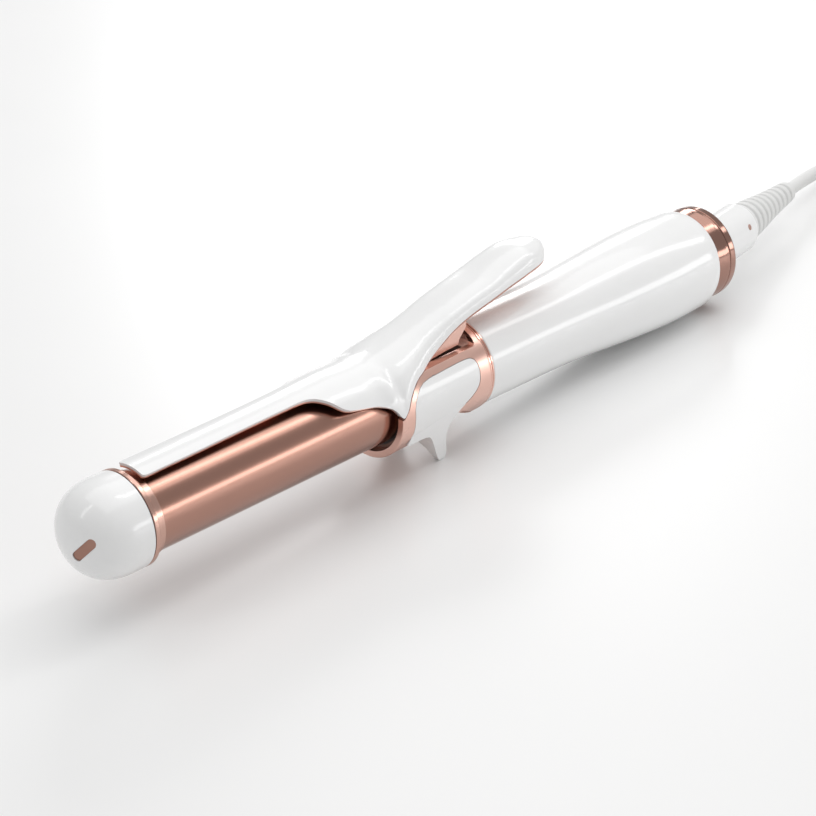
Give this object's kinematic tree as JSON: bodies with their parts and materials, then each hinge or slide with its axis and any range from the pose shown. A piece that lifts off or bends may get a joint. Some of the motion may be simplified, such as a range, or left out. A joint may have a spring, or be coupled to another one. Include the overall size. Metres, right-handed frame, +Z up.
{
  "type": "curling iron",
  "caption": "Spring-clamp curling iron: round heated barrel, sprung clamp with thumb lever, cool tip, small stand, handle buttons and swivel mains cord.",
  "frame": {"origin": "under the middle of the iron without its cord, on the surface it stands on", "axes": "+X runs from the cool tip towards the handle and cord, +Z is up, and +Y is the side of the handle with the buttons"},
  "size_m": [0.6021, 0.0588, 0.0614],
  "materials": {
    "white_gloss": "gloss white moulded plastic",
    "rose_barrel": "satin rose gold ceramic coating on aluminium",
    "rose_polished": "polished rose gold anodised aluminium",
    "rose_satin": "satin rose gold anodised aluminium",
    "pps_black": "black glass-filled heat-resistant plastic",
    "steel": "bright steel",
    "spring_steel": "oil-dull spring steel",
    "aluminium_cast": "plain extruded aluminium",
    "ceramic": "fired ceramic",
    "film": "amber insulating film",
    "lead_sleeve": "silicone lead insulation",
    "glass_bead": "glass bead",
    "fuse_metal": "plated fuse body",
    "board": "green circuit board",
    "chip_black": "black component body",
    "cap_yellow": "yellow film capacitor case",
    "chassis_grey": "grey inner frame plastic",
    "button_white": "gloss white buttons",
    "fascia_rose": "rose gold painted plastic",
    "lens": "clear indicator lens",
    "brass": "turned brass",
    "carbon": "carbon brush",
    "pvc_white": "white PVC",
    "tie_white": "white tie strap",
    "blade_brass": "nickel-plated brass blades"
  },
  "bodies": {
    "body": {"cool_tip_cap": "white_gloss", "tip_slot_inlay": "rose_satin", "tip_collar": "rose_polished", "tip_insulator": "pps_black", "barrel_tube": "rose_barrel", "heat_spreader_upper": "aluminium_cast", "heat_spreader_lower": "aluminium_cast", "heater_tablets": "ceramic", "electrode_plates": "steel", "insulation_sleeve": "film", "thermistor": "glass_bead", "thermal_fuse": "fuse_metal", "heater_leads": "lead_sleeve", "neck_frame": "rose_satin", "stand_saddle": "white_gloss", "neck_core": "fascia_rose", "hinge_pin": "steel", "handle_shell": "white_gloss", "handle_trim_ring": "rose_polished", "control_fascia": "fascia_rose", "indicator_lens": "lens", "inner_chassis": "chassis_grey", "circuit_board": "board", "board_switches": "chip_black", "triac": "chip_black", "film_capacitor": "cap_yellow", "control_chip": "chip_black", "chassis_screws": "steel", "rear_ring": "rose_polished", "rear_cap": "white_gloss", "brush_block": "pps_black", "contact_brushes": "carbon", "mains_leads": "lead_sleeve"},
    "clamp": {"clamp_shell": "white_gloss", "clamp_liner": "rose_satin", "hinge_bracket": "rose_satin", "torsion_spring": "spring_steel"},
    "button_power": {"button_power": "button_white"},
    "button_minus": {"button_minus": "button_white"},
    "button_plus": {"button_plus": "button_white"},
    "cord_swivel": {"swivel_barrel": "white_gloss", "swivel_pin": "rose_polished", "slip_rings": "brass", "strain_relief": "pvc_white", "cord_run": "pvc_white", "cord_hank": "pvc_white", "hank_tie": "tie_white", "plug_body": "pvc_white", "plug_blades": "blade_brass"}
  },
  "joints": [
    {"name": "clamp_hinge", "type": "hinge", "parent": "body", "child": "clamp", "pos_m": [-0.02608, 0, 0.0355], "axis": [0, 1, 0], "range_deg": [0, 8], "stiffness_Nm_per_rad": 1.2, "springref_deg": -6.88, "deforming": ["torsion_spring"]},
    {"name": "button_power_press", "type": "slide", "parent": "body", "child": "button_power", "axis": [0, -1, 0], "range_m": [0, 0.0006], "stiffness_N_per_m": 400},
    {"name": "button_minus_press", "type": "slide", "parent": "body", "child": "button_minus", "axis": [0, -1, 0], "range_m": [0, 0.0006], "stiffness_N_per_m": 400},
    {"name": "button_plus_press", "type": "slide", "parent": "body", "child": "button_plus", "axis": [0, -1, 0], "range_m": [0, 0.0006], "stiffness_N_per_m": 400},
    {"name": "cord_swivel_turn", "type": "hinge", "parent": "body", "child": "cord_swivel", "pos_m": [0.14729, 0, 0.01911], "axis": [0.9991, 0, -0.042], "continuous": true}
  ]
}
